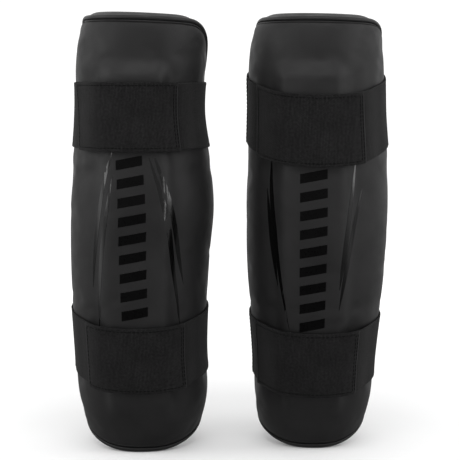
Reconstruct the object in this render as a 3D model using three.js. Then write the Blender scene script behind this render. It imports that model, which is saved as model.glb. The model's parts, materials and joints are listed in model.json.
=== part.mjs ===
// A pair of padded martial-arts shin guards standing side by side, fronts towards -Y.
// Millimetres, +Z up. Each guard is a half pipe of cover, foam and lining closed by an
// edge gusset, with a raised bar down the shin and two elastic straps that wrap right round it.
import * as THREE from "three";

// Driving dimensions
const HEIGHT = 390; // length of a guard down the middle of its front
const GUARD_SPACING = 159; // between the two guards' centre lines
const RIM_ANGLE = THREE.MathUtils.degToRad(115); // from the front to each rear rim
const BOTTOM_CORNER = 34; // rise of the bottom edge from the front to the rear rim
const BOTTOM_POWER = 2.5; // how late that rise comes
const FOOT_FLAT = 0.6; // how much of the bottom curve is cut flat to stand on
const TOP_POWER = 2.2; // how late the top edge falls towards the rear rims
const BOW = 4; // how far the middle of the shin stands forward of its ends
const DEPTH_SHARE = 0.95; // front of the cover from the axis, as a share of the half width
const DEPTH_EXTRA = 4; // and how much more than that
const SIDE_THICKNESS = 11; // cover to lining at the sides
const FRONT_THICKNESS = 15; // cover to lining at the front, without the shin bar
const GAP = 0.3; // between pieces that touch

const COVER = 1;
const LINING = 0.9;
const COMFORT_FOAM = 2.6;
const GUSSET = 3.5; // width of the gusset over the edge of the layers
const LAYER_INSET = GUSSET + 0.6; // layers inside the outline
const MEAN_RADIUS = 60; // of the shell, to turn a distance round it into an angle
const GUSSET_SETBACK = 1.8; // gusset's front edge behind the cover's face
const PIPING_RADIUS = 1.2;

const BAR_HEIGHT = 6;
const BAR_BOTTOM = 33;
const BAR_TOP = 350;
const BAR_FLAT_ANGLE = 21; // degrees either side of the middle at full height
const BAR_EDGE_ANGLE = 39; // degrees where the bar has faded into the shell
const BAR_FOOT = 50; // height that the bar takes to rise at its bottom end
const BAR_HEAD = 30; // and to fall at its top end

const WEBBING = 1.4;
const HOOK_TAPE = 0.8;
const LOOP_TAPE = 1;
const STRAP_GAP = 0.8; // strap over the cover
const LOOP_GAP = 0.6; // loop patch over the cover
const STACK = LOOP_GAP + LOOP_TAPE + GAP + HOOK_TAPE + GAP; // under a strap tab
const FOLD_CLEARANCE = 0.4; // fold line over a strap's outer face
const STRAP_OVER_RIM = 1.7; // strap over the cover where it passes the rear rims
const BACK_SPAN = 47; // how far behind the guard's axis the straps cross
const LEAVES_BAR = [24, 58]; // degrees between which a taut strap comes down off the bar
const LEAVES_SIDE = 122; // degrees where a strap leaves the shell's side for the back
const SIDE_PULL = 16; // how far a strap runs on straight there
const BACK_PULL = 30; // and how wide its bow is flat at the middle of the back
const SIDE = 90; // degrees where a strap's hinged front run starts
const LOOP_ENDS = [-88.5, -24]; // degrees
const JOINT_GAP = 0.35; // degrees either side of a line where two lengths of strap meet
const HOOK_MARGIN = 2.5; // degrees between the hook tape and the ends of its tab
const RUN_COLUMNS = { loop: 10, back: 20, front: 8, tab: 12 };

// Grid of each shell layer
const COLUMNS = 22;
const ROWS = 15;
const FIRST_BAR_COLUMN = 9;
const LAST_BAR_COLUMN = 13;
const FIRST_BAR_ROW = 2;
const LAST_BAR_ROW = 13;

const { degToRad, lerp, smoothstep } = THREE.MathUtils;

// Half widths of the cover and its middle's place sideways at heights above the floor,
// and how the two guards differ. A top corner is the share of the way to the rear rim where
// the top edge starts to fall, and its fall at the rim.
const GUARDS = [
  {
    name: "left",
    at: [-GUARD_SPACING / 2, 0],
    heights: [0, 18, 45, 90, 140, 175, 217, 255, 305, 350, 376, 390],
    halfWidths: [44, 51.4, 58, 58.9, 61.2, 62.6, 64.3, 62, 57, 58.2, 57.2, 54],
    sideways: [0.1, 0.7, 0.5, -1.8, -2.2, -1.4, 0.6, 0.3, -1.5, 0.3, 3, 4],
    topSlope: 1.9,
    topCorners: [[0.63, 30], [0.45, 66]],
    twist: [2, -3.5],
    straps: [
      { name: "upper", z: 299, width: 58, tilt: 1.5, seam: 28.5, end: [-54, -63] },
      { name: "lower", z: 87.5, width: 57, tilt: 9, seam: 34.5, end: [-42, -42] },
    ],
  },
  {
    name: "right",
    at: [GUARD_SPACING / 2, 10],
    heights: [0, 18, 40, 82, 127, 160, 205, 255, 304, 345, 376, 390],
    halfWidths: [39, 47.8, 52.7, 54.9, 59.2, 62.4, 64.1, 63.5, 61.2, 60.7, 57.4, 52.5],
    sideways: [-3, -3.5, -2.3, -1.2, -0.4, 0.2, 0.9, 1, 0.1, -0.4, 0.6, 2.5],
    topSlope: 1,
    topCorners: [[0.63, 30], [0.51, 24]],
    twist: [-3, -8.5],
    straps: [
      { name: "upper", z: 288, width: 60, tilt: 14, seam: 27.5, end: [-56.5, -57.5] },
      { name: "lower", z: 81, width: 57, tilt: 9, seam: 28.5, end: [-64, -64] },
    ],
  },
];

const MATERIALS = {
  synthetic_leather: { color: 0x2b2a2c, roughness: 0.62, metalness: 0 },
  foam: { color: 0x3a3a3d, roughness: 0.95, metalness: 0 },
  lining: { color: 0x1c1c1e, roughness: 0.9, metalness: 0 },
  piping: { color: 0x161617, roughness: 0.5, metalness: 0 },
  elastic: { color: 0x1b1a1b, roughness: 0.88, metalness: 0 },
  hook: { color: 0x121213, roughness: 0.7, metalness: 0 },
  loop: { color: 0x171718, roughness: 1, metalness: 0 },
};

function addMesh(group, name, material, geometry) {
  geometry.computeVertexNormals();
  const mesh = new THREE.Mesh(geometry, new THREE.MeshStandardMaterial(MATERIALS[material]));
  mesh.name = name;
  group.add(mesh);
}

// A box of columns by rows by one layer, bent by place(u, v, w), each from 0 to 1:
// u runs round to +X, v runs up and w runs outwards. Its inner face is folded along the
// same diagonals as its outer face, so that stacked layers lie parallel.
function bentSheet(columns, rows, place) {
  const sheet = new THREE.BoxGeometry(1, 1, 1, columns, rows, 1);
  const inner = sheet.groups[5];
  for (let i = inner.start; i < inner.start + inner.count; i += 6) {
    const [a, b, d, , c] = sheet.index.array.slice(i, i + 6);
    sheet.index.array.set([a, b, c, a, c, d], i);
  }
  const points = sheet.attributes.position;
  for (let i = 0; i < points.count; i++) {
    const p = place(points.getX(i) + 0.5, points.getY(i) + 0.5, points.getZ(i) + 0.5);
    points.setXYZ(i, p.x, p.y, p.z);
  }
  return sheet;
}

// A closed ring: place(step, corner) gives the point of each of the section's corners
// at each of the loop's steps.
function ring(steps, corners, place) {
  const loop = new THREE.TorusGeometry(2, 1, corners, steps);
  const points = loop.attributes.position;
  for (let i = 0; i < points.count; i++) {
    const corner = corners - Math.floor(i / (steps + 1));
    const p = place((i % (steps + 1)) % steps, corner % corners);
    points.setXYZ(i, p.x, p.y, p.z);
  }
  return loop;
}

// The guard's cross section at each height: an ellipse about its bowed axis.
class Shell {
  constructor(spec) {
    this.spec = spec;
    this.widths = new THREE.CubicInterpolant(spec.heights, spec.halfWidths, 1);
    this.middles = new THREE.CubicInterpolant(spec.heights, spec.sideways, 1);
  }

  halfWidth(z) {
    return this.widths.evaluate(THREE.MathUtils.clamp(z, 0, HEIGHT))[0];
  }

  // How far the front stands from the axis.
  halfDepth(z) {
    return DEPTH_SHARE * this.halfWidth(z) + DEPTH_EXTRA;
  }

  axisPoint(z) {
    const fromMiddle = (2 * z) / HEIGHT - 1;
    const forward = BOW * (1 - fromMiddle * fromMiddle);
    const sideways = this.middles.evaluate(THREE.MathUtils.clamp(z, 0, HEIGHT))[0];
    return new THREE.Vector3(sideways, -forward, z);
  }

  // A point at an angle from the front, positive towards +X, and a distance over the cover.
  point(angle, z, over) {
    const p = this.axisPoint(z);
    p.x += (this.halfWidth(z) + over) * Math.sin(angle);
    p.y -= (this.halfDepth(z) + over) * Math.cos(angle);
    return p;
  }

  // The same, at an angle round a shell that twists a little on the leg from floor to top.
  twisted(angle, z, over) {
    const [low, high] = this.spec.twist;
    return this.point(angle + degToRad(lerp(low, high, z / HEIGHT)), z, over);
  }
}

// Share of the way from the front to the rear rim, -1 to 1, for t from -1 to 1:
// the columns stand closer towards the rims, where the corners are.
function rimShare(t) {
  return 0.6 * t + 0.4 * Math.sin((t * Math.PI) / 2);
}

// Share of the way up at a row: the rows stand closer towards both ends.
function rowHeight(row) {
  return (1 + rimShare((2 * row) / ROWS - 1)) / 2;
}

function thickness(angle) {
  return lerp(SIDE_THICKNESS, FRONT_THICKNESS, Math.max(0, Math.cos(angle)) ** 2);
}

// Height of the bottom and the top edge at a share of the way to the rear rim.
function bottomEdge(share) {
  return Math.max(0, BOTTOM_CORNER * Math.abs(share) ** BOTTOM_POWER - FOOT_FLAT);
}

function topEdge(share, { topSlope, topCorners }) {
  const [start, fall] = topCorners[share < 0 ? 0 : 1];
  const past = Math.max(0, (Math.abs(share) - start) / (1 - start));
  return HEIGHT - fall * past ** TOP_POWER - topSlope * Math.sin(share * RIM_ANGLE);
}

function barRise(angle, z) {
  const across = 1 - smoothstep(Math.abs(angle), degToRad(BAR_FLAT_ANGLE), degToRad(BAR_EDGE_ANGLE));
  const low = smoothstep(z, BAR_BOTTOM - 0.4 * BAR_FOOT, BAR_BOTTOM + 0.6 * BAR_FOOT);
  const high = 1 - smoothstep(z, BAR_TOP - BAR_HEAD / 2, BAR_TOP + BAR_HEAD / 2);
  return BAR_HEIGHT * across * low * high;
}

// A place on the shell's grid, which stays inside the gusset on all sides.
function gridPlace(shell, column, row) {
  const share = rimShare((2 * column) / COLUMNS - 1);
  const angle = share * (RIM_ANGLE - LAYER_INSET / MEAN_RADIUS);
  const low = bottomEdge(share) + LAYER_INSET;
  const high = topEdge(share, shell.spec) - LAYER_INSET;
  return { angle, z: lerp(low, high, rowHeight(row)) };
}

// One layer of the shell. inner and outer give its faces over the cover at a place.
function layer(shell, inner, outer) {
  return bentSheet(COLUMNS, ROWS, (u, v, w) => {
    const { angle, z } = gridPlace(shell, u * COLUMNS, v * ROWS);
    return shell.twisted(angle, z, lerp(inner(angle, z), outer(angle, z), w));
  });
}

function addShell(group, shell) {
  const { name } = shell.spec;
  const foamFace = -COVER - GAP;
  const liningBack = (angle) => LINING - thickness(angle);
  const comfortInner = (angle) => liningBack(angle) + GAP;
  const comfortOuter = (angle) => comfortInner(angle) + COMFORT_FOAM;

  const coverOuter = (angle, z) => barRise(angle, z);
  const coverInner = (angle, z) => coverOuter(angle, z) - COVER;
  addMesh(group, `${name}_cover`, "synthetic_leather", layer(shell, coverInner, coverOuter));

  const bar = bentSheet(
    LAST_BAR_COLUMN - FIRST_BAR_COLUMN,
    LAST_BAR_ROW - FIRST_BAR_ROW,
    (u, v, w) => {
      const column = lerp(FIRST_BAR_COLUMN, LAST_BAR_COLUMN, u);
      const row = lerp(FIRST_BAR_ROW, LAST_BAR_ROW, v);
      const { angle, z } = gridPlace(shell, column, row);
      const face = coverInner(angle, z) - GAP;
      return shell.twisted(angle, z, lerp(foamFace + GAP, face, w));
    },
  );
  addMesh(group, `${name}_shin_bar`, "foam", bar);

  const foam = layer(shell, (angle) => comfortOuter(angle) + GAP, () => foamFace);
  addMesh(group, `${name}_impact_foam`, "foam", foam);
  addMesh(group, `${name}_comfort_foam`, "foam", layer(shell, comfortInner, comfortOuter));
  addMesh(group, `${name}_lining`, "lining", layer(shell, (angle) => -thickness(angle), liningBack));
}

// The outline walked once round: along the bottom, up one rear rim, back along the top
// and down the other. Each step has an angle, a height and a unit step off the edge.
function outline(shell) {
  const shares = Array.from({ length: COLUMNS + 1 }, (_, i) => rimShare((2 * i) / COLUMNS - 1));
  const heights = Array.from({ length: ROWS - 1 }, (_, j) => rowHeight(j + 1));
  const top = (share) => topEdge(share, shell.spec);
  const rim = (side) => heights.map((h) => [side, lerp(bottomEdge(side), top(side), h)]);
  const walk = [
    ...shares.map((share) => [share, bottomEdge(share)]),
    ...rim(1),
    ...shares.map((share) => [share, top(share)]).reverse(),
    ...rim(-1).reverse(),
  ];
  const flat = walk.map(([share, z]) => new THREE.Vector2(share * RIM_ANGLE * MEAN_RADIUS, z));
  return walk.map(([share, z], i) => {
    const before = flat[(i + flat.length - 1) % flat.length];
    const after = flat[(i + 1) % flat.length];
    const along = after.clone().sub(before).normalize();
    return { angle: share * RIM_ANGLE, z, across: along.y, up: -along.x };
  });
}

// A ring round the outline with a section of corners, each at a distance in from the
// edge and a distance over the cover, which may depend on the angle.
function rimRing(shell, section) {
  const steps = outline(shell);
  return ring(steps.length, section.length, (i, corner) => {
    const { angle, z, across, up } = steps[i];
    const { inset, over } = section[corner](angle);
    return shell.twisted(angle - (across * inset) / MEAN_RADIUS, z - up * inset, over);
  });
}

function addRim(group, shell) {
  const { name } = shell.spec;
  const wall = [
    (angle) => ({ inset: 0, over: 1.5 - thickness(angle) }),
    (angle) => ({ inset: 1.5, over: -thickness(angle) }),
    (angle) => ({ inset: GUSSET, over: -thickness(angle) }),
    () => ({ inset: GUSSET, over: -GUSSET_SETBACK }),
    () => ({ inset: 1.5, over: -GUSSET_SETBACK }),
    () => ({ inset: 0, over: -GUSSET_SETBACK - 1.5 }),
  ];
  addMesh(group, `${name}_edge_gusset`, "synthetic_leather", rimRing(shell, wall));

  const sides = 4;
  const bead = Array.from({ length: sides }, (_, i) => () => {
    const turn = (i * 2 * Math.PI) / sides;
    return {
      inset: GUSSET - PIPING_RADIUS + PIPING_RADIUS * Math.cos(turn),
      over: -GUSSET_SETBACK + GAP + PIPING_RADIUS * (1 + Math.sin(turn)),
    };
  });
  addMesh(group, `${name}_piping`, "piping", rimRing(shell, bead));
}

// A strap's loop round its guard: it follows the cover and the bar at the front and the
// sides, and crosses the open back in a shallow bow.
class StrapPath {
  constructor(shell, spec) {
    this.shell = shell;
    this.spec = spec;
    this.slope = Math.tan(degToRad(spec.tilt));
    this.frontY = this.level(0, spec.z, 0).y;
    this.leaves = degToRad(LEAVES_SIDE);
  }

  // Round the guard at one height, drawn taut over the bar.
  level(angle, z, over) {
    const [near, far] = LEAVES_BAR.map(degToRad);
    const overBar = 1 - smoothstep(Math.abs(angle), near, far);
    return this.shell.point(angle, z, over + (BAR_HEIGHT + GAP) * overBar);
  }

  // Across the back: a curve from the side at this height to the middle of the back.
  behind(angle, z, over) {
    const side = Math.sign(angle);
    const from = this.level(side * this.leaves, z, over);
    const before = this.level(side * (this.leaves - 0.02), z, over);
    const along = from.clone().sub(before).normalize().multiplyScalar(SIDE_PULL);
    const middle = this.shell.axisPoint(z);
    const back = BACK_SPAN + over;
    const half = new THREE.CubicBezierCurve(
      new THREE.Vector2(from.x, from.y),
      new THREE.Vector2(from.x + along.x, from.y + along.y),
      new THREE.Vector2(middle.x + side * BACK_PULL, back),
      new THREE.Vector2(middle.x, back),
    );
    const t = (Math.abs(angle) - this.leaves) / (Math.PI - this.leaves);
    const p = half.getPoint(t);
    return new THREE.Vector3(p.x, p.y, z);
  }

  // across runs from -1 at the strap's bottom edge to 1 at its top edge. The strap rises
  // towards the back where it is worn tilted.
  point(angle, across, over) {
    const flat = (this.spec.width / 2) * across + this.spec.z;
    const place = Math.abs(angle) > this.leaves ? this.behind : this.level;
    const y = place.call(this, angle, flat, over).y;
    const z = flat + (y - this.frontY) * this.slope;
    const p = place.call(this, angle, z, over);
    p.z = z;
    return p;
  }

  // The line across the strap's outer face that it folds back on, just clear of the face.
  foldLine(angle, over) {
    const low = this.point(angle, -1, over + FOLD_CLEARANCE);
    const high = this.point(angle, 1, over + FOLD_CLEARANCE);
    return new THREE.Line3(low, high);
  }

  // A length of strap. ends gives the angle of each end at a height across the strap.
  run(columns, ends, under, thick) {
    return bentSheet(columns, 2, (u, v, w) => {
      const across = 2 * v - 1;
      const [from, to] = ends(across);
      const angle = degToRad(lerp(from, to, u));
      const signed = angle > Math.PI ? angle - 2 * Math.PI : angle;
      return this.point(signed, across, under(angle) + w * thick);
    });
  }
}

function addStrap(group, shell, spec, hinges) {
  const name = `${shell.spec.name}_${spec.name}`;
  const path = new StrapPath(shell, spec);
  const end = (across) => lerp(spec.end[1], spec.end[0], (1 - across) / 2);

  const loop = path.run(RUN_COLUMNS.loop, () => LOOP_ENDS, () => LOOP_GAP, LOOP_TAPE);
  addMesh(group, `${name}_loop_patch`, "loop", loop);
  const back = () => [SIDE + JOINT_GAP, 360 - SIDE - JOINT_GAP];
  const toRim = (angle) => Math.min(angle - Math.PI / 2, (3 * Math.PI) / 2 - angle);
  const overRim = (angle) => lerp(STRAP_GAP, STRAP_OVER_RIM, smoothstep(toRim(angle), 0, 0.3));
  addMesh(group, `${name}_elastic_back`, "elastic", path.run(RUN_COLUMNS.back, back, overRim, WEBBING));

  const rise = (angle) =>
    lerp(STACK, STRAP_GAP, smoothstep(angle, degToRad(spec.seam + 4), degToRad(SIDE - 20)));
  const front = () => [spec.seam + JOINT_GAP, SIDE - JOINT_GAP];
  addMesh(group, `${name}_elastic_front`, "elastic", path.run(RUN_COLUMNS.front, front, rise, WEBBING));

  const tab = (across) => [end(across), spec.seam - JOINT_GAP];
  addMesh(group, `${name}_strap_tab`, "elastic", path.run(RUN_COLUMNS.tab, tab, () => STACK, WEBBING));
  const tape = (across) => [end(across) + HOOK_MARGIN, spec.seam - HOOK_MARGIN];
  const tapeUnder = STACK - GAP - HOOK_TAPE;
  addMesh(group, `${name}_hook_patch`, "hook", path.run(RUN_COLUMNS.tab, tape, () => tapeUnder, HOOK_TAPE));

  hinges[`${name}_swing`] = path.foldLine(degToRad(SIDE), STRAP_GAP + WEBBING);
  hinges[`${name}_peel`] = path.foldLine(degToRad(spec.seam), STACK + WEBBING);
}

const pair = new THREE.Group();
const hinges = {};
for (const spec of GUARDS) {
  const guard = new THREE.Group();
  guard.position.set(spec.at[0], spec.at[1], 0);
  const shell = new Shell(spec);
  const own = {};
  addShell(guard, shell);
  addRim(guard, shell);
  for (const strap of spec.straps) addStrap(guard, shell, strap, own);
  guard.updateMatrix();
  for (const [name, line] of Object.entries(own)) hinges[name] = line.applyMatrix4(guard.matrix);
  pair.add(guard);
}

// The origin is under the middle of the pair, on the floor.
const box = new THREE.Box3().setFromObject(pair, true);
const centre = box.getCenter(new THREE.Vector3());
pair.position.set(-centre.x, -centre.y, -box.min.z);

// The fold lines that the straps turn about, bottom end to top end.
pair.updateMatrix();
for (const line of Object.values(hinges)) line.applyMatrix4(pair.matrix);
pair.userData.hinges = hinges;

export default pair;
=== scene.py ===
"""The looks of a pair of padded shin guards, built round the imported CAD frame."""

import json
import math

import bmesh
import bpy
import numpy as np
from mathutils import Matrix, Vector, noise
from mathutils.bvhtree import BVHTree


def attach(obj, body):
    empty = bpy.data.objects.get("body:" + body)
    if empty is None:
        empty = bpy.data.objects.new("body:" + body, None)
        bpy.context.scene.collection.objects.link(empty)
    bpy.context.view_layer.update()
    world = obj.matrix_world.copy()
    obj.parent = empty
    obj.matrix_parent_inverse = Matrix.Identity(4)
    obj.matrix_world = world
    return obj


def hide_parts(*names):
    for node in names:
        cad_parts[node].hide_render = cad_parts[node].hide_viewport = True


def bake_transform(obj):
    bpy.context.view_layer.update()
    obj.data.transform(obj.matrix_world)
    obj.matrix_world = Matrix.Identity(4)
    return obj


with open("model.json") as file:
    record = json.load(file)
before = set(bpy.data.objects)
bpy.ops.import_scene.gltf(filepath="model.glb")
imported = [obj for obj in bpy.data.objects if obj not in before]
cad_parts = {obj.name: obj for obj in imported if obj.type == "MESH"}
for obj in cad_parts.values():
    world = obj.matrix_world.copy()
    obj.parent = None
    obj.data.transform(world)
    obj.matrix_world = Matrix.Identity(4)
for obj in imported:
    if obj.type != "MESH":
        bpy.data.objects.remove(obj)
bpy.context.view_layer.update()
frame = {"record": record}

# Driving dimensions, in millimetres and degrees, as in the CAD model
MM = 0.001
HEIGHT = 390
RIM_ANGLE = math.radians(115)
BOTTOM_CORNER = 34
BOTTOM_POWER = 2.5
FOOT_FLAT = 0.6
TOP_POWER = 2.2
BOW = 4
DEPTH_SHARE = 0.95  # a section's half depth, as a share of its half width
DEPTH_EXTRA = 4
SIDE_THICKNESS = 11
FRONT_THICKNESS = 15
MEAN_RADIUS = 60  # turns angles into lengths along the shell

COVER = 1
LINING = 0.9
COMFORT_FOAM = 2.6
GAP = 0.3
EDGE = 4.3  # where the cover and the lining go into the edge seam, in from the outline
LEAN = 3.2  # how much lower the front of the top edge is than its back
PIPING_RADIUS = 2
PIPING_INSET = 2.1  # of the bead's middle from the outline
PIPING_SINK = 1.1  # of its middle under the cover's face
COVER_SWELL = 0.7  # the most that foam swells the cover and the lining
LINING_SWELL = 1.4

BAR_HEIGHT = 6
BAR_BOTTOM = 33
BAR_TOP = 350
BAR_FOOT = (BAR_BOTTOM - 8, BAR_BOTTOM + 20)  # heights between which its lower end rises
BAR_HEAD = (BAR_TOP - 18, BAR_TOP)  # heights between which its upper end falls
BAR_FLAT_ANGLE = math.radians(20)
BAR_EDGE_ANGLE = math.radians(34)
BAR_PAD_ENDS = (BAR_BOTTOM + 4, BAR_TOP - 8)  # the foam bar is a little smaller than the rise
BAR_PAD_INSET = 0.07  # in radians
BAR_PAD_EDGE = 0.15  # its thickness at its edge

WEBBING = 1.4
HOOK_TAPE = 0.8
LOOP_TAPE = 1
STRAP_GAP = 0.8
LOOP_GAP = 0.5
STACK = 3  # how far over the cover the tab lies
TAB_LIFT = 1.3  # how far over the cover the front run lies where the tab is sewn to it
STRAP_OVER_RIM = 1.7
BACK_SPAN = 47
LEAVES_BAR = (math.radians(24), math.radians(58))
LEAVES = math.radians(122)  # where a strap leaves the shell for the open back
SIDE_PULL = 16  # how firmly the open run keeps its direction at the side and at the back
BACK_PULL = 30

# Places along a strap, in degrees from the front of the guard
LOOP_ENDS = (-88.5, -24)
RUNS_MEET = 104
BACK_END = 270.9
SWING_BAND = (96, 84)  # two places on the front run, near the guard's side
ANCHOR_ROWS = (268, -87, 265.6)

# Places along a strap from the seam of its tab, in degrees
TAB_LAP = 4.6
SEAM_ROWS = (1, 3.2)
PEEL_BAND = (0.5, 5)  # two places on the tab, just before its seam
HOOK_MARGIN = 7
END_MARGIN = 2.4  # from the tab's free end to its stitches

STITCH_PITCH = 3.4
STITCH_MARGIN = 2.2  # from a strap's long edges to its stitches
STRAP_STEP = 1.6
FILM = 0.16
FILM_ROOT = 0.05  # how far the film goes into the cover

# Fineness of the shell's grid and of the cloth simulation
COLUMNS = 64
ROWS = 104
BAR_GRID = (33, 81)
EVEN_SHARE = 0.6  # how even the columns' spacing is; the rest draws them towards the rims
OUTLINE_PASSES = 6
CLOTH_FRAMES = 20
CLOTH_SHRINK = -0.01

# Each guard's half widths and its middle's place sideways at heights above the floor; how its
# top edge slopes and, for each side, where its top corner starts and how far it falls; its
# twist in degrees at the bottom and the top; its straps, in millimetres and degrees; its
# printed slashes as three places each, an angle and a height; and the angle, the height and
# the lean of its printed mark.
GUARDS = [
    {
        "name": "left",
        "heights": [0, 18, 45, 90, 140, 175, 217, 255, 305, 350, 376, 390],
        "half_widths": [44, 51.4, 58, 58.9, 61.2, 62.6, 64.3, 62, 57, 58.2, 57.2, 54],
        "sideways": [0.1, 0.7, 0.5, -1.8, -2.2, -1.4, 0.6, 0.3, -1.5, 0.3, 3, 4],
        "top_slope": 1.9,
        "top_corners": [(0.63, 30), (0.45, 66)],
        "twist": [2, -3.5],
        "straps": [
            {"name": "upper", "z": 299, "width": 58, "tilt": 1.5, "seam": 28.5, "end": [-54, -63]},
            {"name": "lower", "z": 87.5, "width": 57, "tilt": 9, "seam": 34.5, "end": [-42, -42]},
        ],
        "slashes": [
            [(-17.5, 272), (-30.6, 216), (-37.2, 150)],
            [(-18.4, 248), (-27, 179), (-32.3, 113)],
            [(11.2, 272), (27.5, 210), (41.3, 152)],
            [(9.1, 264), (25, 195), (39.3, 117)],
        ],
        "mark": (-3, 194, 2.6),
    },
    {
        "name": "right",
        "heights": [0, 18, 40, 82, 127, 160, 205, 255, 304, 345, 376, 390],
        "half_widths": [39, 47.8, 52.7, 54.9, 59.2, 62.4, 64.1, 63.5, 61.2, 60.7, 57.4, 52.5],
        "sideways": [-3, -3.5, -2.3, -1.2, -0.4, 0.2, 0.9, 1, 0.1, -0.4, 0.6, 2.5],
        "top_slope": 1,
        "top_corners": [(0.63, 30), (0.51, 24)],
        "twist": [-3, -8.5],
        "straps": [
            {"name": "upper", "z": 288, "width": 60, "tilt": 14, "seam": 27.5, "end": [-56.5, -57.5]},
            {"name": "lower", "z": 81, "width": 57, "tilt": 9, "seam": 28.5, "end": [-64, -64]},
        ],
        "slashes": [
            [(-42.5, 266), (-39, 205), (-24, 112)],
            [(-46.4, 236), (-41, 190), (-35, 150)],
            [(28.5, 264), (19.8, 200), (14.5, 148)],
            [(33.5, 236), (22.3, 182), (15.2, 130)],
        ],
        "mark": (-5.8, 182, 0.2),
    },
]


def smooth(x, low, high):
    t = np.clip((np.asarray(x, float) - low) / (high - low), 0, 1)
    return t * t * (3 - 2 * t)


def mix(a, b, t):
    return a + (b - a) * t


def spline(z, at, values):
    """A smooth curve through the values, whose slope at each is the mean of its neighbours'."""
    at, values = np.array(at, float), np.array(values, float)
    secants = np.diff(values) / np.diff(at)
    slopes = np.concatenate([secants[:1], (secants[1:] + secants[:-1]) / 2, secants[-1:]])
    i = np.clip(np.searchsorted(at, z, side="right") - 1, 0, len(at) - 2)
    step = at[i + 1] - at[i]
    t = (z - at[i]) / step
    rise = t * t * (3 - 2 * t)
    return (
        mix(values[i], values[i + 1], rise)
        + step * slopes[i] * t * (1 - t) ** 2
        - step * slopes[i + 1] * t * t * (1 - t)
    )


class Shell:
    """A guard's cross section at each height: an ellipse about its bowed axis."""

    def __init__(self, spec):
        self.spec = spec
        self.name = spec["name"]
        self.body = f"{self.name}_guard"
        mounts = {m["name"]: m for m in frame["record"]["mounts"]}
        self.axis = np.array(mounts[f"{self.name}_leg_hollow"]["pos_m"][:2]) / MM

    def point(self, angle, z, over):
        """A point at an angle from the front, positive towards +X, a distance over the cover."""
        angle, z, over = np.broadcast_arrays(*(np.asarray(v, float) for v in (angle, z, over)))
        level = np.clip(z, 0, HEIGHT)
        half_width = spline(level, self.spec["heights"], self.spec["half_widths"])
        sideways = spline(level, self.spec["heights"], self.spec["sideways"])
        half_depth = DEPTH_SHARE * half_width + DEPTH_EXTRA
        forward = BOW * (1 - (2 * z / HEIGHT - 1) ** 2)
        x = self.axis[0] + sideways + (half_width + over) * np.sin(angle)
        y = self.axis[1] - forward - (half_depth + over) * np.cos(angle)
        return np.stack([x, y, z], -1)

    def twist(self, z):
        low, high = self.spec["twist"]
        return np.radians(mix(low, high, np.asarray(z) / HEIGHT))

    def twisted(self, angle, z, over):
        return self.point(angle + self.twist(z), z, over)


def thickness(angle):
    return mix(SIDE_THICKNESS, FRONT_THICKNESS, np.maximum(0, np.cos(angle)) ** 2)


def bar_rise(angle, z):
    across = 1 - smooth(np.abs(angle), BAR_FLAT_ANGLE, BAR_EDGE_ANGLE)
    return BAR_HEIGHT * across * smooth(z, *BAR_FOOT) * (1 - smooth(z, *BAR_HEAD))


# Outline

class Outline:
    """The outline laid flat and walked once round: along the bottom, up one rear rim, back
    along the top and down the other. Its corners are rounded."""

    def __init__(self, shell):
        t = np.linspace(-1, 1, COLUMNS + 1)
        share = EVEN_SHARE * t + (1 - EVEN_SHARE) * np.sin(t * math.pi / 2)
        bottom = np.maximum(0, BOTTOM_CORNER * np.abs(share) ** BOTTOM_POWER - FOOT_FLAT)
        corners = np.array(shell.spec["top_corners"])[(share > 0).astype(int)]
        start, fall = corners.T
        past = np.maximum(0, (np.abs(share) - start) / (1 - start))
        slope = shell.spec["top_slope"] * np.sin(share * RIM_ANGLE)
        top = HEIGHT - fall * past**TOP_POWER - slope
        x = share * RIM_ANGLE * MEAN_RADIUS
        rise = np.arange(1, ROWS) / ROWS
        sides = [
            np.c_[x, bottom],
            np.c_[np.full(ROWS - 1, x[-1]), mix(bottom[-1], top[-1], rise)],
            np.c_[x, top][::-1],
            np.c_[np.full(ROWS - 1, x[0]), mix(bottom[0], top[0], rise)][::-1],
        ]
        places = np.concatenate(sides)
        for _ in range(OUTLINE_PASSES):
            places = (np.roll(places, 1, 0) + 2 * places + np.roll(places, -1, 0)) / 4
        places[:, 1] = np.maximum(places[:, 1], 0)
        along = np.roll(places, -1, 0) - np.roll(places, 1, 0)
        along /= np.linalg.norm(along, axis=1)[:, None]
        self.places = places
        self.outward = np.c_[along[:, 1], -along[:, 0]]

    def inset(self, distance, lean=0):
        """Angles and heights of the outline moved in by a distance, and more at the top."""
        top = np.clip(self.outward[:, 1:], 0, 1) ** 2
        moved = self.places - self.outward * (distance + lean * top)
        return moved[:, 0] / MEAN_RADIUS, moved[:, 1]

    def patch(self, distance, lean=0):
        """Angles and heights of a grid of rows and columns that fills the inset outline."""
        loop = np.stack(self.inset(distance, lean), -1)
        bottom = loop[: COLUMNS + 1]
        right = loop[COLUMNS : COLUMNS + ROWS + 1]
        top = loop[COLUMNS + ROWS : 2 * COLUMNS + ROWS + 1][::-1]
        left = np.concatenate([loop[2 * COLUMNS + ROWS :], loop[:1]])[::-1]
        u = np.linspace(0, 1, COLUMNS + 1)[None, :, None]
        v = np.linspace(0, 1, ROWS + 1)[:, None, None]
        sides = mix(left[:, None], right[:, None], u) + mix(bottom[None], top[None], v)
        corners = mix(mix(bottom[0], bottom[-1], u), mix(top[0], top[-1], u), v)
        grid = sides - corners
        return grid[..., 0], grid[..., 1]


def patch_faces(first, flipped):
    """The faces of a grid whose vertices start at first."""
    width = COLUMNS + 1
    i = first + (np.arange(ROWS)[:, None] * width + np.arange(COLUMNS)[None]).ravel()
    faces = np.stack([i, i + 1, i + width + 1, i + width], -1)
    return (faces[:, ::-1] if flipped else faces).tolist()


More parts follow.
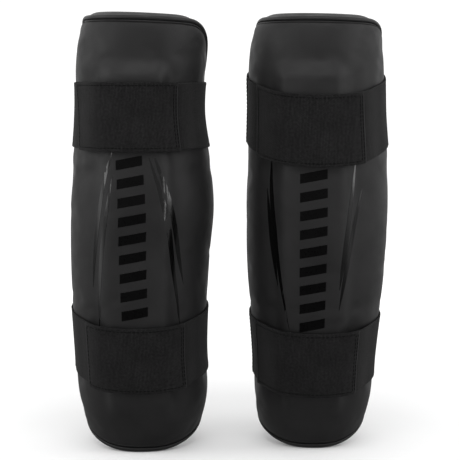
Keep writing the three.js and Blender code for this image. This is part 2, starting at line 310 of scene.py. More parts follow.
def patch_loop(first):
    """A grid's border vertices in the order of the outline."""
    width = COLUMNS + 1
    bottom = np.arange(COLUMNS + 1)
    right = np.arange(1, ROWS) * width + COLUMNS
    top = ROWS * width + np.arange(COLUMNS, -1, -1)
    left = np.arange(ROWS - 1, 0, -1) * width
    return first + np.concatenate([bottom, right, top, left])


def bridge(loop, following):
    """Faces between two loops of the same length."""
    a, b = np.asarray(loop), np.asarray(following)
    return np.stack([a, b, np.roll(b, -1), np.roll(a, -1)], -1).tolist()


# Meshes

def make_object(name, points, faces, material):
    """A mesh object from points in millimetres."""
    mesh = bpy.data.meshes.new(name)
    mesh.from_pydata((np.asarray(points, float) * MM).tolist(), [], faces)
    mesh.validate()
    mesh.update()
    mesh.shade_smooth()
    mesh.materials.append(material)
    made = bpy.data.objects.new(name, mesh)
    bpy.context.scene.collection.objects.link(made)
    return made


def subdivide(made):
    modifier = made.modifiers.new("subdivision", "SUBSURF")
    modifier.levels = modifier.render_levels = 1


def swell(points, faces, pinned, pressure):
    """Where a sheet's points end when it is sewn down at its pinned points and blown up a
    little, as foam does under a cover."""
    cloth_mesh = bpy.data.meshes.new("cloth")
    cloth_mesh.from_pydata((points * MM).tolist(), [], faces)
    cloth = bpy.data.objects.new("cloth", cloth_mesh)
    bpy.context.scene.collection.objects.link(cloth)
    held = cloth.vertex_groups.new(name="held")
    for i, weight in enumerate(pinned):
        held.add([i], float(weight), "REPLACE")
    modifier = cloth.modifiers.new("cloth", "CLOTH")
    settings = modifier.settings
    settings.quality = 6
    settings.mass = 0.3
    settings.tension_stiffness = settings.compression_stiffness = 40
    settings.shear_stiffness = 20
    settings.bending_stiffness = 4
    settings.air_damping = 4
    settings.vertex_group_mass = "held"
    settings.use_pressure = True
    settings.uniform_pressure_force = pressure
    settings.shrink_min = CLOTH_SHRINK
    settings.effector_weights.gravity = 0
    modifier.point_cache.frame_end = CLOTH_FRAMES
    scene = bpy.context.scene
    for step in range(1, CLOTH_FRAMES + 1):
        scene.frame_set(step)
    graph = bpy.context.evaluated_depsgraph_get()
    result = cloth.evaluated_get(graph).to_mesh()
    moved = np.empty(len(result.vertices) * 3)
    result.vertices.foreach_get("co", moved)
    scene.frame_set(1)
    bpy.data.objects.remove(cloth)
    bpy.data.meshes.remove(cloth_mesh)
    return moved.reshape(-1, 3) / MM


def padded_patch(shell, places, over, inwards, cap):
    """A layer's visible face, swollen by cloth simulation and capped: it is held at its rim
    and under the straps."""
    angle, z = places
    flat = shell.twisted(angle, z, over).reshape(-1, 3)
    pinned = np.zeros(angle.shape)
    pinned[[0, -1]] = 1
    pinned[:, [0, -1]] = 1
    for strap in shell.spec["straps"]:
        rise = (1 - np.cos(angle)) * MEAN_RADIUS * math.tan(math.radians(strap["tilt"]))
        off = np.abs(z - strap["z"] - rise) / (strap["width"] / 2)
        pinned = np.maximum(pinned, 1 - smooth(off, 0.7, 0.95))
    moved = swell(flat, patch_faces(0, inwards), pinned.ravel(), cap * 2)
    outwards = shell.twisted(angle, z, over + 1).reshape(-1, 3) - flat
    outwards /= np.linalg.norm(outwards, axis=1)[:, None]
    rise = ((moved - flat) * outwards).sum(1)
    low, high = (-cap, 0.3 * cap) if inwards else (-0.3 * cap, cap)
    limited = np.where(rise > 0, high * np.tanh(rise / high), low * np.tanh(rise / low))
    return flat + outwards * limited[:, None]


def layer(
    name, shell, outline, outer, inner, distance, rounding, material,
    lean=0, front=None, back=None,
):
    """A closed layer of the shell between two faces, given over the cover at a place.
    rounding is a list of loops round its edge: an inset, a share of the way from the outer
    face to the inner one, and a drop."""
    places = outline.patch(distance, lean)
    if front is None:
        front = shell.twisted(*places, outer(*places)).reshape(-1, 3)
    if back is None:
        back = shell.twisted(*places, inner(*places)).reshape(-1, 3)
    points, faces = [front], patch_faces(0, False)
    loop, count = patch_loop(0), len(front)
    for inset, share, drop in rounding:
        angle, z = outline.inset(inset, lean)
        over = mix(outer(angle, z), inner(angle, z), share) - drop
        points.append(shell.twisted(angle, z, over))
        following = count + np.arange(len(angle))
        faces += bridge(following, loop)
        loop, count = following, count + len(angle)
    faces += bridge(patch_loop(count), loop)
    faces += patch_faces(count, True)
    points.append(back)
    return make_object(name, np.concatenate(points), faces, material)


def rim_ring(name, shell, outline, section, material):
    """A ring round the outline. section is a list of corners, each an inset, a lean and a
    distance over the cover, which depends on the angle."""
    points, faces = [], []
    for inset, lean, over in section:
        angle, z = outline.inset(inset, lean)
        points.append(shell.twisted(angle, z, over(angle)))
    count = len(points[0])
    for corner in range(len(section)):
        following = (corner + 1) % len(section)
        faces += bridge(corner * count + np.arange(count), following * count + np.arange(count))
    return make_object(name, np.concatenate(points), faces, material)


# Straps

class StrapPath:
    """A strap's loop round its guard: it follows the cover and the bar at the front and the
    sides, and crosses the open back in a shallow bow."""

    def __init__(self, shell, spec):
        self.shell, self.spec = shell, spec
        self.slope = math.tan(math.radians(spec["tilt"]))
        self.front_y = self.level(0, spec["z"], 0)[1]

    def level(self, angle, z, over):
        over_bar = 1 - smooth(abs(angle), *LEAVES_BAR)
        return self.shell.point(angle, z, over + (BAR_HEIGHT + GAP) * over_bar)

    def behind(self, angle, z, over):
        side = math.copysign(1, angle)
        start = self.level(side * LEAVES, z, over)[:2]
        before = self.level(side * (LEAVES - 0.02), z, over)[:2]
        along = (start - before) / np.linalg.norm(start - before) * SIDE_PULL
        sideways = spline(np.clip(z, 0, HEIGHT), self.shell.spec["heights"], self.shell.spec["sideways"])
        middle = self.shell.axis + [sideways, 0]
        back = middle[1] + BACK_SPAN + over
        t = (abs(angle) - LEAVES) / (math.pi - LEAVES)
        x, y = (
            start * (1 - t) ** 3
            + 3 * (start + along) * t * (1 - t) ** 2
            + 3 * np.array([middle[0] + side * BACK_PULL, back]) * t * t * (1 - t)
            + np.array([middle[0], back]) * t**3
        )
        return np.array([x, y, z])

    def point(self, angle, offset, over):
        """offset is the distance up from the strap's middle line, in millimetres."""
        if angle > math.pi:
            angle -= 2 * math.pi
        flat = self.spec["z"] + offset
        place = self.behind if abs(angle) > LEAVES else self.level
        z = flat + (place(angle, flat, over)[1] - self.front_y) * self.slope
        made = place(angle, z, over)
        made[2] = z
        return made


def strap_section(width, thick):
    """Corners of a strap's section, anticlockwise from its outer face's bottom edge: an
    offset up and a height over its inner face. Its woven edges are a little thicker."""
    half, round_off = width / 2, thick / 2
    across = np.concatenate([[-1, -0.97, -0.94], np.linspace(-0.86, 0.86, 13), [0.94, 0.97, 1]])
    bead = 0.12 * np.exp(-(((1 - np.abs(across)) / 0.035 - 1) ** 2))
    outer = [(a * (half - round_off), thick + b) for a, b in zip(across, bead)]
    turn = np.radians([65, 30, 0, -30, -65])
    side = [(half - round_off + round_off * math.cos(t), round_off * (1 + math.sin(t))) for t in turn]
    inner = [(a * (half - round_off), -b) for a, b in zip(across[::-1], bead[::-1])]
    return outer + side + inner + [(-a, b) for a, b in side[::-1]]


def strap_run(name, path, ends, under, thick, width, material, seed):
    """A length of strap between two ends, given in degrees at an offset up. UVs are in
    millimetres along and across it."""
    section = strap_section(width, thick)
    corners = len(section)
    middle = [math.radians(e(0)) for e in ends]
    count = max(8, int(abs(middle[1] - middle[0]) * MEAN_RADIUS / STRAP_STEP))
    points, along = [], []
    for i in range(count + 1):
        t = i / count
        for offset, lift in section:
            angle = math.radians(mix(ends[0](offset), ends[1](offset), t))
            place = Vector((angle * 4, offset / 25, seed * 7.3))
            wander = noise.noise(place)
            edge_wander = noise.noise(Vector((angle * 9, math.copysign(3, offset), seed)))
            point = path.point(angle, offset + 0.35 * edge_wander, under(angle) + lift + 0.12 * wander)
            points.append(point)
        along.append(angle * MEAN_RADIUS)
    points = np.array(points)
    faces = []
    for i in range(count):
        for c in range(corners):
            a, b = i * corners + c, i * corners + (c + 1) % corners
            faces.append((a, b, b + corners, a + corners))
    faces.append(tuple(range(corners))[::-1])
    faces.append(tuple(count * corners + c for c in range(corners)))
    made = make_object(name, points, faces, material)
    offsets = [offset for offset, _ in section]
    layer_uv = made.data.uv_layers.new(name="weave")
    for loop in made.data.loops:
        i, c = divmod(loop.vertex_index, corners)
        layer_uv.data[loop.index].uv = (along[i], offsets[c])
    for face in list(made.data.polygons)[-2:]:
        face.use_smooth = False
    return made


def stitches(name, path, rows, under, material):
    """Rows of thread stitches over a strap's face. A row is two places, each an angle in
    degrees and an offset up. A stitch's profile is a place along it and its radius there."""
    points, faces = [], []
    profile = [(-1.3, 0.02), (-1.15, 0.24), (-0.6, 0.34), (0, 0.36), (0.6, 0.34), (1.15, 0.24), (1.3, 0.02)]
    sides = 6
    for start, end in rows:
        def at(t):
            angle = math.radians(mix(start[0], end[0], t))
            return path.point(angle, mix(start[1], end[1], t), under(angle))
        length = np.linalg.norm(at(1) - at(0.5)) + np.linalg.norm(at(0.5) - at(0))
        number = max(1, round(length / STITCH_PITCH))
        for k in range(number):
            t = (k + 0.5) / number
            centre, ahead = at(t), at(t + 0.01)
            along = (ahead - centre) / np.linalg.norm(ahead - centre)
            angle = math.radians(mix(start[0], end[0], t))
            outward = np.array([math.sin(angle), -math.cos(angle), 0])
            outward -= along * (outward @ along)
            outward /= np.linalg.norm(outward)
            across = np.cross(along, outward)
            first = len(points)
            for shift, radius in profile:
                for s in range(sides):
                    turn = 2 * math.pi * s / sides
                    ring = across * math.cos(turn) + outward * math.sin(turn)
                    points.append(centre + along * shift + ring * radius)
            for p in range(len(profile) - 1):
                for s in range(sides):
                    a, b = first + p * sides + s, first + p * sides + (s + 1) % sides
                    faces.append((a, b, b + sides, a + sides))
            faces.append(tuple(first + s for s in range(sides))[::-1])
            faces.append(tuple(first + (len(profile) - 1) * sides + s for s in range(sides)))
    return make_object(name, points, faces, material)


# Printed film

def slab(outer, inner):
    """Points and faces of a closed slab between two grids of points."""
    rows, columns = outer.shape[:2]
    count = rows * columns
    faces = []
    for r in range(rows - 1):
        for c in range(columns - 1):
            a = r * columns + c
            faces.append((a, a + 1, a + columns + 1, a + columns))
            faces.append(tuple(i + count for i in (a, a + columns, a + columns + 1, a + 1)))
    border = list(range(columns))
    border += [r * columns + columns - 1 for r in range(1, rows)]
    border += [(rows - 1) * columns + c for c in range(columns - 2, -1, -1)]
    border += [r * columns for r in range(rows - 2, 0, -1)]
    for a, b in zip(border, border[1:] + border[:1]):
        faces.append((a, a + count, b + count, b))
    return np.concatenate([outer.reshape(-1, 3), inner.reshape(-1, 3)]), faces


def smoothed(grid):
    """A grid of points evened out along its columns, so that a gloss on it runs clean."""
    for _ in range(12):
        grid = np.concatenate([grid[:1], (grid[:-2] + 2 * grid[1:-1] + grid[2:]) / 4, grid[-1:]])
    return grid


def film(name, shell, cover, shapes, material):
    """Thin film pressed onto the cover. A shape is a grid of places, each an angle and a
    height, and all of a guard's shapes make one piece."""
    tree = BVHTree.FromObject(cover, bpy.context.evaluated_depsgraph_get())
    points, faces = [], []
    for shape in shapes:
        outer, inner = [], []
        for angle, z in shape.reshape(-1, 2):
            far = Vector(shell.point(angle, z, 30) * MM)
            near = Vector(shell.point(angle, z, -8) * MM)
            hit, normal, _, _ = tree.ray_cast(far, (near - far).normalized())
            outer.append((hit + normal * FILM * MM) / MM)
            inner.append((hit - normal * FILM_ROOT * MM) / MM)
        grid = shape.shape[:2] + (3,)
        outer, inner = (smoothed(np.array(side).reshape(grid)) for side in (outer, inner))
        corners, sides = slab(outer, inner)
        faces += [tuple(i + len(points) for i in face) for face in sides]
        points += corners.tolist()
    made = make_object(name, points, faces, material)
    made.data.set_sharp_from_angle(angle=math.radians(40))
    return made


def slash(start, middle, end, width):
    """A long spear along a curve through three places, widest at its middle."""
    t = np.linspace(0, 1, 60)[:, None]
    a, b, c = (np.array([math.radians(angle), z]) for angle, z in (start, middle, end))
    bend = 2 * b - (a + c) / 2
    line = a * (1 - t) ** 2 + 2 * bend * t * (1 - t) + c * t * t
    half = width / 2 * np.sin(math.pi * np.clip(t, 0.012, 0.988)) ** 0.8
    sides = np.linspace(-1, 1, 5)[None, :, None]
    across = np.array([1 / MEAN_RADIUS, 0.25])
    return line[:, None] + sides * half[:, None] * across


def mark(angle, z, lean):
    """A plain column of slanted bars."""
    bars, pitch, tall, wide, slant = 9, 16.4, 8.4, 20.5, 2.2
    shapes = []
    u = np.linspace(-1, 1, 13)[None, :]
    v = np.linspace(-1, 1, 6)[:, None]
    for i in range(bars):
        up = (i - (bars - 1) / 2) * pitch
        across = math.radians(angle - lean * up / 60) + u * wide / 2 / MEAN_RADIUS + 0 * v
        height = z + up + v * tall / 2 + u * slant
        shapes.append(np.stack([across, height], -1))
    return shapes


# Materials

class Look:
    """A material whose nodes are added one call at a time."""

    def __init__(self, name, roughness, specular, **sockets):
        self.material = bpy.data.materials.new(name)
        self.material.use_nodes = True
        self.tree = self.material.node_tree
        self.shader = self.tree.nodes["Principled BSDF"]
        self.shader.inputs["Roughness"].default_value = roughness
        self.shader.inputs["Specular IOR Level"].default_value = specular
        for socket, value in sockets.items():
            self.shader.inputs[socket.replace("_", " ")].default_value = value

    def add(self, kind, inputs=None, **settings):
        made = self.tree.nodes.new(kind)
        for key, value in settings.items():
            setattr(made, key, value)
        for key, value in (inputs or {}).items():
            if isinstance(value, bpy.types.NodeSocket):
                self.tree.links.new(value, made.inputs[key])
            else:
                made.inputs[key].default_value = value
        return made

    def maths(self, operation, a, b=0.0):
        return self.add("ShaderNodeMath", {0: a, 1: b}, operation=operation).outputs[0]

    def place(self):
        return self.add("ShaderNodeTexCoord").outputs["Object"]

    def noise(self, scale, detail=3.0, vector=None):
        inputs = {"Scale": scale, "Detail": detail, "Vector": vector or self.place()}
        return self.add("ShaderNodeTexNoise", inputs).outputs["Fac"]

    def ramp(self, value, low, high, to_low, to_high):
        inputs = {"Value": value, 1: low, 2: high, 3: to_low, 4: to_high}
        return self.add("ShaderNodeMapRange", inputs).outputs[0]

    def colours(self, value, dark, light):
        mixed = self.add("ShaderNodeMix", {"Factor": value}, data_type="RGBA")
        mixed.inputs[6].default_value = (*dark, 1)
        mixed.inputs[7].default_value = (*light, 1)
        self.tree.links.new(mixed.outputs[2], self.shader.inputs["Base Color"])

    def rough(self, value):
        self.tree.links.new(value, self.shader.inputs["Roughness"])

    def bump(self, *heights):
        """Each height is a value and how far it stands up, in millimetres."""
        normal = None
        for value, tall in heights:
            inputs = {"Height": value, "Distance": tall * MM, "Strength": 1.0}
            if normal:
                inputs["Normal"] = normal
            normal = self.add("ShaderNodeBump", inputs).outputs[0]
        self.tree.links.new(normal, self.shader.inputs["Normal"])


def grey(value, warmth=0.02):
    return (value * (1 + warmth), value, value * (1 + warmth))


def leather(name, shade, gloss):
    """Matte synthetic leather: a fine pebbled grain, faint blotches and soft hollows."""
    look = Look(name, gloss, 0.24)
    pebbles = look.add("ShaderNodeTexVoronoi", {"Scale": 950.0, "Vector": look.place()})
    grain = look.noise(2300.0, 2.0)
    blotch = look.noise(22.0, 5.0)
    look.colours(look.ramp(blotch, 0.35, 0.65, 0.0, 1.0), grey(shade * 0.85), grey(shade * 1.15))
    look.rough(look.ramp(look.noise(70.0, 4.0), 0.3, 0.7, gloss - 0.06, gloss + 0.06))
    look.bump((look.noise(28.0, 2.0), 0.5), (pebbles.outputs["Distance"], 0.05), (grain, 0.02))
    return look.material


def woven(name, shade, rib, cord):
    """Elastic webbing: raised ribs across the strap, crossed by finer cords."""
    look = Look(name, 0.86, 0.1, Sheen_Weight=0.04, Sheen_Roughness=0.45)
    uv = look.add("ShaderNodeUVMap", uv_map="weave").outputs[0]
    split = look.add("ShaderNodeSeparateXYZ", {0: uv})
    row = look.maths("DIVIDE", split.outputs[0], rib)
    column = look.maths("DIVIDE", split.outputs[1], cord)
    ribs = look.maths("ABSOLUTE", look.maths("SINE", look.maths("MULTIPLY", row, math.pi)))
    odd = look.maths("MULTIPLY", look.maths("FLOOR", row), 0.5)
    shifted = look.maths("MULTIPLY", look.maths("ADD", column, odd), 2 * math.pi)
    cords = look.ramp(look.maths("SINE", shifted), -1.0, 1.0, 0.55, 1.0)
    weave = look.maths("MULTIPLY", ribs, cords)
    fibres = look.noise(1.6, 4.0, uv)
    pulled = look.add("ShaderNodeMapping", {"Vector": uv, "Scale": (0.45, 0.035, 1)}).outputs[0]
    streaks = look.ramp(look.noise(1.0, 3.0, pulled), 0.35, 0.65, 0.86, 1.14)
    specks = look.ramp(look.noise(0.55, 5.0, uv), 0.38, 0.62, 0.65, 1.35)
    wear = look.ramp(look.noise(0.05, 4.0, uv), 0.3, 0.7, 0.8, 1.2)
    tone = look.maths("ADD", look.maths("MULTIPLY", weave, 0.6), look.maths("MULTIPLY", fibres, 0.4))
    for factor in (streaks, specks, wear):
        tone = look.maths("MULTIPLY", tone, factor)
    look.colours(tone, grey(shade * 0.1), grey(shade * 3.4))
    look.bump((weave, 0.3), (fibres, 0.14))
    return look.material


def pile(name, shade):
    """Brushed loop pile: a felt of tiny curls."""
    look = Look(name, 0.95, 0.08, Sheen_Weight=0.05, Sheen_Roughness=0.5)
    curls = look.add("ShaderNodeTexVoronoi", {"Scale": 1500.0, "Vector": look.place()})
    fuzz = look.noise(900.0, 6.0)
    look.colours(fuzz, grey(shade * 0.5), grey(shade * 1.6))
    look.bump((curls.outputs["Distance"], 0.15), (fuzz, 0.3))
    return look.material


def hooks(name, shade):
    """Moulded hook tape: rows of tiny hooks on a ribbed base."""
    look = Look(name, 0.5, 0.35)
    uv = look.add("ShaderNodeUVMap", uv_map="weave").outputs[0]
    split = look.add("ShaderNodeSeparateXYZ", {0: uv})
    across = look.maths("SINE", look.maths("MULTIPLY", split.outputs[1], 2 * math.pi / 1.5))
    along = look.maths("SINE", look.maths("MULTIPLY", split.outputs[0], 2 * math.pi / 0.9))
    studs = look.ramp(look.maths("MULTIPLY", across, along), 0.1, 0.8, 0.0, 1.0)
    look.colours(studs, grey(shade * 0.6), grey(shade * 1.8))
    look.rough(look.ramp(look.noise(300.0), 0.3, 0.7, 0.4, 0.6))
    look.bump((studs, 0.45), (look.noise(1500.0), 0.05))
    return look.material


def knit(name, shade):
    """Lining mesh: a knit of small holes."""
    look = Look(name, 0.9, 0.2, Sheen_Weight=0.15, Sheen_Roughness=0.5)
    cells = look.add(
        "ShaderNodeTexVoronoi", {"Scale": 520.0, "Randomness": 0.25, "Vector": look.place()}
    )
    holes = look.ramp(cells.outputs["Distance"], 0.18, 0.42, 0.0, 1.0)
    fuzz = look.noise(2600.0, 3.0)
    look.colours(look.maths("MULTIPLY", holes, fuzz), grey(shade * 0.35), grey(shade * 2.2))
    look.bump((holes, 0.35), (fuzz, 0.05), (look.noise(45.0), 0.5))
    return look.material


def foam(name, shade, cell):
    """Foam: closed cells with a fine skin."""
    look = Look(name, 0.92, 0.2)
    cells = look.add("ShaderNodeTexVoronoi", {"Scale": 1000 / cell, "Vector": look.place()})
    mottle = look.noise(60.0, 5.0)
    look.colours(mottle, grey(shade * 0.8), grey(shade * 1.25))
    look.bump((cells.outputs["Distance"], 0.2), (look.noise(2000.0), 0.05))
    return look.material


def film_print(name, gloss, specular):
    """Smooth black print with a faint orange peel."""
    look = Look(name, gloss, specular)
    look.colours(look.noise(150.0), grey(0.0006), grey(0.0016))
    look.rough(look.ramp(look.noise(400.0, 4.0), 0.3, 0.7, gloss * 0.8, gloss * 1.3))
    look.bump((look.noise(260.0, 2.0), 0.002))
    return look.material


def thread(name, shade):
    """Polyester thread: a tight twist of fibres."""
    look = Look(name, 0.8, 0.08)
    twist = look.noise(2400.0, 2.0)
    look.colours(twist, grey(shade * 0.6), grey(shade * 1.5))
    look.bump((twist, 0.06))
    return look.material


MATERIALS = {
    "cover": leather("cover_leather", 0.0115, 0.56),
    "edge": leather("edge_leather", 0.0115, 0.52),
    "piping": leather("piping_leather", 0.013, 0.5),
    "webbing": woven("elastic_webbing", 0.0045, 1.05, 1.5),
    "loop": pile("loop_pile", 0.006),
    "hook": hooks("hook_tape", 0.008),
    "lining": knit("lining_mesh", 0.012),
    "dense": foam("dense_foam", 0.05, 1.2),
    "soft": foam("soft_foam", 0.08, 2.0),
    "gloss": film_print("gloss_print", 0.16, 0.5),
    "ink": film_print("ink_print", 0.3, 0.1),
    "thread": thread("thread", 0.001),
}


# Building

def settle(piece, body, slot, *nodes):
    """Turns a piece's faces out, fixes it to its body when that is a name and else bakes its place into its
    mesh, and hides the CAD parts it stands for. slot is not used.
    """
    mesh = bmesh.new()
    mesh.from_mesh(piece.data)
    if mesh.calc_volume(signed=True) < 0:
        bmesh.ops.reverse_faces(mesh, faces=mesh.faces)
    mesh.to_mesh(piece.data)
    mesh.free()
    if isinstance(body, str):
        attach(piece, body)
    else:
        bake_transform(piece)
    if nodes:
        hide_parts(*nodes)


def build_shell(shell):
    name, body = shell.name, shell.body
    outline = Outline(shell)

    def back_of_lining(angle, z):
        return LINING - thickness(angle)

    def comfort_inner(angle, z):
        return back_of_lining(angle, z) + GAP

    def comfort_outer(angle, z):
        return comfort_inner(angle, z) + COMFORT_FOAM

    def cover_inner(angle, z):
        return bar_rise(angle, z) - COVER

    seam = EDGE + 1.5
    places = outline.patch(seam, LEAN)
    front = padded_patch(shell, places, bar_rise(*places), False, COVER_SWELL)
    tucked = [
        (EDGE + 0.9, 0, 0.12), (EDGE + 0.4, 0, 0.4), (EDGE + 0.1, 0, 0.9), (EDGE, 0, 1.9),
        (EDGE + 0.1, 1, 1.4), (EDGE + 0.8, 1, 0.75), (EDGE + 1.7, 1, 0.2),
    ]
    cover = layer(
        f"{name}_padded_cover", shell, outline, bar_rise, cover_inner, seam, tucked,
        MATERIALS["cover"], LEAN, front=front,
    )
    subdivide(cover)
    settle(cover, body, "cover_leather", f"{name}_cover")

    lining_seam = EDGE + 2
    places = outline.patch(lining_seam)
    back = padded_patch(shell, places, -thickness(places[0]), True, LINING_SWELL)
    tucked = [(EDGE + 1, 0, 0), (EDGE, 0.3, 0), (EDGE + 0.1, 1, -0.6), (EDGE + 0.9, 1, -0.25)]
    lining = layer(
        f"{name}_padded_lining", shell, outline, back_of_lining,
        lambda angle, z: -thickness(angle), lining_seam, tucked, MATERIALS["lining"], back=back,
    )
    subdivide(lining)
    settle(lining, body, "lining_fabric", f"{name}_lining")

    rounded = [(5.9, 0.12, 0), (5.3, 0.5, 0), (5.9, 0.88, 0)]
    comfort = layer(
        f"{name}_comfort_pad", shell, outline, comfort_outer, comfort_inner, 7, rounded,
        MATERIALS["soft"],
    )
    settle(comfort, body, "soft_foam", f"{name}_comfort_foam")

    impact = layer(
        f"{name}_impact_pad", shell, outline, lambda angle, z: -COVER - 2 * GAP + 0 * angle,
        lambda angle, z: comfort_outer(angle, z) + GAP, 8.5,
        [(7, 0.05, 0), (6, 0.2, 0), (5.6, 0.5, 0), (6, 0.8, 0), (7, 0.95, 0)], MATERIALS["dense"],
    )
    settle(impact, body, "dense_foam", f"{name}_impact_foam")

    angle, z = np.meshgrid(
        np.linspace(-1, 1, BAR_GRID[0]) * (BAR_EDGE_ANGLE - BAR_PAD_INSET),
        np.linspace(*BAR_PAD_ENDS, BAR_GRID[1]),
    )
    top = np.maximum(cover_inner(angle, z) - 2 * GAP, BAR_PAD_EDGE - COVER)
    points, faces = slab(shell.twisted(angle, z, top), shell.twisted(angle, z, -COVER))
    bar = make_object(f"{name}_bar_pad", points, faces, MATERIALS["dense"])
    settle(bar, body, "dense_foam", f"{name}_shin_bar")

    roll = [
        (
            PIPING_INSET + PIPING_RADIUS * math.cos(turn), LEAN,
            lambda angle, up=PIPING_RADIUS * math.sin(turn): up - PIPING_SINK + 0 * angle,
        )
        for turn in np.linspace(0, 2 * math.pi, 14, endpoint=False)
    ]
    piping = rim_ring(f"{name}_edge_roll", shell, outline, roll, MATERIALS["piping"])
    settle(piping, body, "piping", f"{name}_piping")

    front_wall = [(5, -3.4), (1.6, -3.2), (0.7, -2.7), (0.3, -3.6)]
    back_wall = [(0.3, 2.4), (1.1, 1), (2.3, 0.2), (3.4, 0.1), (4.1, 0.7), (5, 1.6)]
    wall = [(inset, LEAN, lambda angle, up=up: up + 0 * angle) for inset, up in front_wall]
    wall += [
        (0, 0.65 * LEAN, lambda angle: -0.42 * thickness(angle)),
        (0, 0.3 * LEAN, lambda angle: -0.6 * thickness(angle)),
    ]
    wall += [(inset, 0, lambda angle, up=up: up - thickness(angle)) for inset, up in back_wall]
    gusset = rim_ring(f"{name}_side_gusset", shell, outline, wall, MATERIALS["edge"])
    settle(gusset, body, "edge_leather", f"{name}_edge_gusset")
    return cover


def build_strap(shell, spec, seed):
    name = f"{shell.name}_{spec['name']}"
    body, run_body, tab_body = shell.body, f"{name}_front_run", f"{name}_tab"
    path = StrapPath(shell, spec)
    width, seam = spec["width"], spec["seam"]

    def end(offset):
        return mix(spec["end"][0], spec["end"][1], offset / width + 0.5)

    def place(angle, over):
        return Vector(path.point(math.radians(angle), 0, over) * MM)

    def over_rim(angle):
        past = min(angle - math.pi / 2, 3 * math.pi / 2 - angle)
        return mix(STRAP_GAP, STRAP_OVER_RIM, smooth(past, 0, 0.3))

    def front_under(angle):
        if angle > math.pi / 2:
            return over_rim(angle)
        return mix(TAB_LIFT, STRAP_GAP, smooth(angle, math.radians(seam + 4), math.radians(70)))

    loop = strap_run(
        f"{name}_loop_tape", path, [lambda o: LOOP_ENDS[0], lambda o: LOOP_ENDS[1]],
        lambda angle: LOOP_GAP, LOOP_TAPE, width - 0.6, MATERIALS["loop"], seed,
    )
    settle(loop, body, "loop_tape", f"{name}_loop_patch")

    back = strap_run(
        f"{name}_back_webbing", path, [lambda o: RUNS_MEET, lambda o: BACK_END],
        over_rim, WEBBING, width, MATERIALS["webbing"], seed,
    )
    settle(back, body, "elastic_webbing", f"{name}_elastic_back")

    front = strap_run(
        f"{name}_front_webbing", path, [lambda o: seam - 0.4, lambda o: RUNS_MEET],
        front_under, WEBBING, width, MATERIALS["webbing"], seed,
    )
    swing = (body, run_body, *(place(angle, 1) for angle in SWING_BAND))
    settle(front, swing, "elastic_webbing", f"{name}_elastic_front")

    tab = strap_run(
        f"{name}_tab_webbing", path, [end, lambda o: seam + TAB_LAP],
        lambda angle: STACK, WEBBING, width + 1.6, MATERIALS["webbing"], seed + 1,
    )
    peel = (run_body, tab_body, *(place(seam - angle, STACK) for angle in PEEL_BAND))
    settle(tab, peel, "elastic_webbing", f"{name}_strap_tab")

    hook = strap_run(
        f"{name}_hook_tape", path, [lambda o: end(o) + 2, lambda o: seam - HOOK_MARGIN],
        lambda angle: STACK - GAP - HOOK_TAPE + 0.2, HOOK_TAPE, width - 2.5, MATERIALS["hook"], seed,
    )
    settle(hook, tab_body, "hook_tape", f"{name}_hook_patch")

    half = width / 2 - STITCH_MARGIN
    first = seam + SEAM_ROWS[0]
    low, high = ((end(offset) + END_MARGIN, offset) for offset in (-half, half))
    sewn = [((seam + row, -half), (seam + row, half)) for row in SEAM_ROWS]
    sewn += [(high, (first, half)), (low, (first, -half)), (low, high)]
    threads = stitches(
        f"{name}_tab_stitches", path, sewn, lambda angle: STACK + WEBBING, MATERIALS["thread"]
    )
    settle(threads, peel, "thread")

    anchored = [((angle, -half), (angle, half)) for angle in ANCHOR_ROWS]
    anchors = stitches(
        f"{name}_anchor_stitches", path, anchored,
        lambda angle: STRAP_GAP + WEBBING if angle > 0 else LOOP_GAP + LOOP_TAPE,
        MATERIALS["thread"],
    )
    settle(anchors, body, "thread")


for number, spec in enumerate(GUARDS):
    shell = Shell(spec)
    cover = build_shell(shell)
    for which, strap in enumerate(spec["straps"]):
        build_strap(shell, strap, 10 * number + 3 * which)
    slashes = [slash(*places, width=4.8) for places in spec["slashes"]]
    printed = film(f"{shell.name}_gloss_slashes", shell, cover, slashes, MATERIALS["gloss"])
    settle(printed, shell.body, "gloss_print")
    bars = film(f"{shell.name}_gloss_bars", shell, cover, mark(*spec["mark"]), MATERIALS["ink"])
    settle(bars, shell.body, "gloss_print")


# Studio

def build_floor():
    look = Look("glowing_paper", 0.8, 0.1)
    look.colours(look.noise(3.0), (0.84, 0.84, 0.84), (0.88, 0.88, 0.88))
    # Painted light: the floor glows, at 0.08 within 0.2 m of the middle and rising to 0.5 at 1 m out, so
    # that it reads white away from the pair while the pair's contact shadows still show near it.
    look.shader.inputs["Emission Color"].default_value = (1, 1, 1, 1)
    away = look.add("ShaderNodeVectorMath", {0: look.place()}, operation="LENGTH").outputs["Value"]
    glow = look.ramp(away, 0.2, 1.0, 0.08, 0.5)
    look.tree.links.new(glow, look.shader.inputs["Emission Strength"])
    size = 60
    mesh = bpy.data.meshes.new("floor")
    corners = [(-size, -size, 0), (size, -size, 0), (size, size, 0), (-size, size, 0)]
    mesh.from_pydata(corners, [], [(0, 1, 2, 3)])
    mesh.materials.append(look.material)
    floor = bpy.data.objects.new("floor", mesh)
    floor.visible_glossy = False
    bpy.context.scene.collection.objects.link(floor)


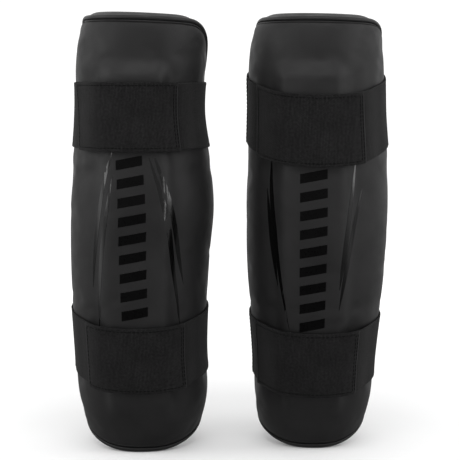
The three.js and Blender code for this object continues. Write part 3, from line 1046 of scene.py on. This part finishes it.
def build_world():
    """A pale studio: white behind the pair, dimmer in front of it and below."""
    world = bpy.data.worlds.new("studio")
    bpy.context.scene.world = world
    world.use_nodes = True
    tree = world.node_tree
    place = tree.nodes.new("ShaderNodeTexCoord")
    split = tree.nodes.new("ShaderNodeSeparateXYZ")
    tree.links.new(place.outputs["Generated"], split.inputs[0])
    parts = []
    for axis, ends in ((1, (-0.1, 0.6, 0.42, 1.12)), (2, (-0.3, 0.0, 0.3, 1.0))):
        ramp = tree.nodes.new("ShaderNodeMapRange")
        ramp.interpolation_type = "SMOOTHSTEP"
        tree.links.new(split.outputs[axis], ramp.inputs["Value"])
        for socket, value in enumerate(ends, 1):
            ramp.inputs[socket].default_value = value
        parts.append(ramp.outputs[0])
    product = tree.nodes.new("ShaderNodeMath")
    product.operation = "MULTIPLY"
    tree.links.new(parts[0], product.inputs[0])
    tree.links.new(parts[1], product.inputs[1])
    tree.links.new(product.outputs[0], tree.nodes["Background"].inputs["Strength"])
    tree.nodes["Background"].inputs["Color"].default_value = (1, 1, 1, 1)


def build_light(name, place, aim, size, watts):
    data = bpy.data.lights.new(name, "AREA")
    data.shape = "RECTANGLE"
    data.size, data.size_y = size
    data.energy = watts
    lamp = bpy.data.objects.new(name, data)
    lamp.location = place
    lamp.rotation_euler = (Vector(aim) - Vector(place)).to_track_quat("-Z", "Y").to_euler()
    bpy.context.scene.collection.objects.link(lamp)


def build_lights():
    build_light("left_softbox", (-1.3, -0.3, 0.75), (-0.05, 0, 0.2), (0.7, 1.2), 7)
    build_light("right_softbox", (1.3, -0.3, 0.75), (0.05, 0, 0.2), (0.7, 1.2), 7)
    for side in (-1, 1):
        build_light("strip_light", (side * 1.1, -0.95, 0.5), (0, 0, 0.22), (0.1, 1.1), 1.6)
    build_light("top_softbox", (0, -0.9, 1.7), (0, 0, 0.25), (1.4, 0.8), 14)


def build_camera():
    distance, height, view_width = 1.24, 0.31, 0.418
    aim = Vector((0.0005, 0, 0.196))
    data = bpy.data.cameras.new("camera")
    camera = bpy.data.objects.new("camera", data)
    camera.location = (aim.x, -distance, height)
    sight = aim - camera.location
    camera.rotation_euler = sight.to_track_quat("-Z", "Y").to_euler()
    data.sensor_width = 36
    data.lens = data.sensor_width * sight.length / view_width
    bpy.context.scene.collection.objects.link(camera)
    bpy.context.scene.camera = camera


bpy.context.scene.view_settings.view_transform = "Standard"
build_floor()
build_world()
build_lights()
build_camera()
